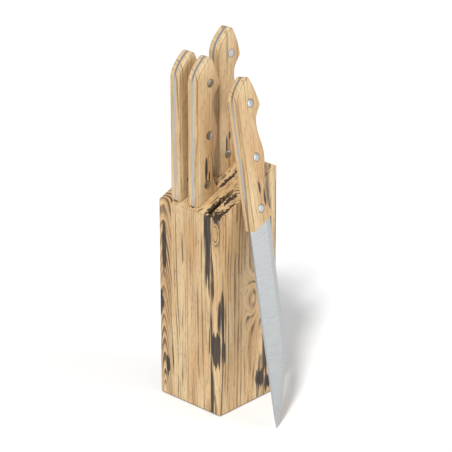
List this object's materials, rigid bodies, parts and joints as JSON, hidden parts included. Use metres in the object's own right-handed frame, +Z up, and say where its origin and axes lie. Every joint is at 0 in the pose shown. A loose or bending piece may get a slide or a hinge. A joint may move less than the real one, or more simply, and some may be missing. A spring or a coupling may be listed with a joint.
{
  "type": "knife block",
  "caption": "Square upright wooden knife block with a sloping top, knives with riveted wooden handles in its slots, and a carving knife leaning on its side.",
  "frame": {"origin": "centre of the block's base, on the surface it stands on", "axes": "+Z up, -Y towards the low front of the block, +X towards the side that the carving knife leans on"},
  "size_m": [0.1103, 0.065, 0.3027],
  "materials": {
    "block_wood": "lightly oiled",
    "dowel_wood": "plain",
    "base_rubber": "matt",
    "blade_steel": "satin ground",
    "handle_wood": "lightly oiled",
    "rivet_steel": "polished"
  },
  "bodies": {
    "block": {"block_board_left": "block_wood", "block_board_utility_slot": "block_wood", "block_board_bread_slot": "block_wood", "block_board_cook_slot": "block_wood", "block_board_carving_slot": "block_wood", "board_dowels": "dowel_wood", "non_slip_base": "base_rubber"},
    "utility_knife": {"utility_blade": "blade_steel", "utility_scale_left": "handle_wood", "utility_scale_right": "handle_wood", "utility_rivets": "rivet_steel"},
    "cook_knife": {"cook_blade": "blade_steel", "cook_scale_left": "handle_wood", "cook_scale_right": "handle_wood", "cook_rivets": "rivet_steel"},
    "bread_knife": {"bread_blade": "blade_steel", "bread_scale_left": "handle_wood", "bread_scale_right": "handle_wood", "bread_rivets": "rivet_steel"},
    "carving_knife": {"carving_blade": "blade_steel", "carving_scale_left": "handle_wood", "carving_scale_right": "handle_wood", "carving_rivets": "rivet_steel"}
  },
  "joints": [
    {"name": "utility_lift", "type": "slide", "parent": "block", "child": "utility_knife", "axis": [0, 0, 1], "range_m": [0, 0.135]},
    {"name": "cook_lift", "type": "slide", "parent": "block", "child": "cook_knife", "axis": [0, 0, 1], "range_m": [0, 0.165]},
    {"name": "bread_lift", "type": "slide", "parent": "block", "child": "bread_knife", "axis": [0, 0, 1], "range_m": [0, 0.18]},
    {"name": "carving_lift", "type": "slide", "parent": "block", "child": "carving_knife", "axis": [0, 0, 1], "range_m": [0, 0.2]}
  ]
}
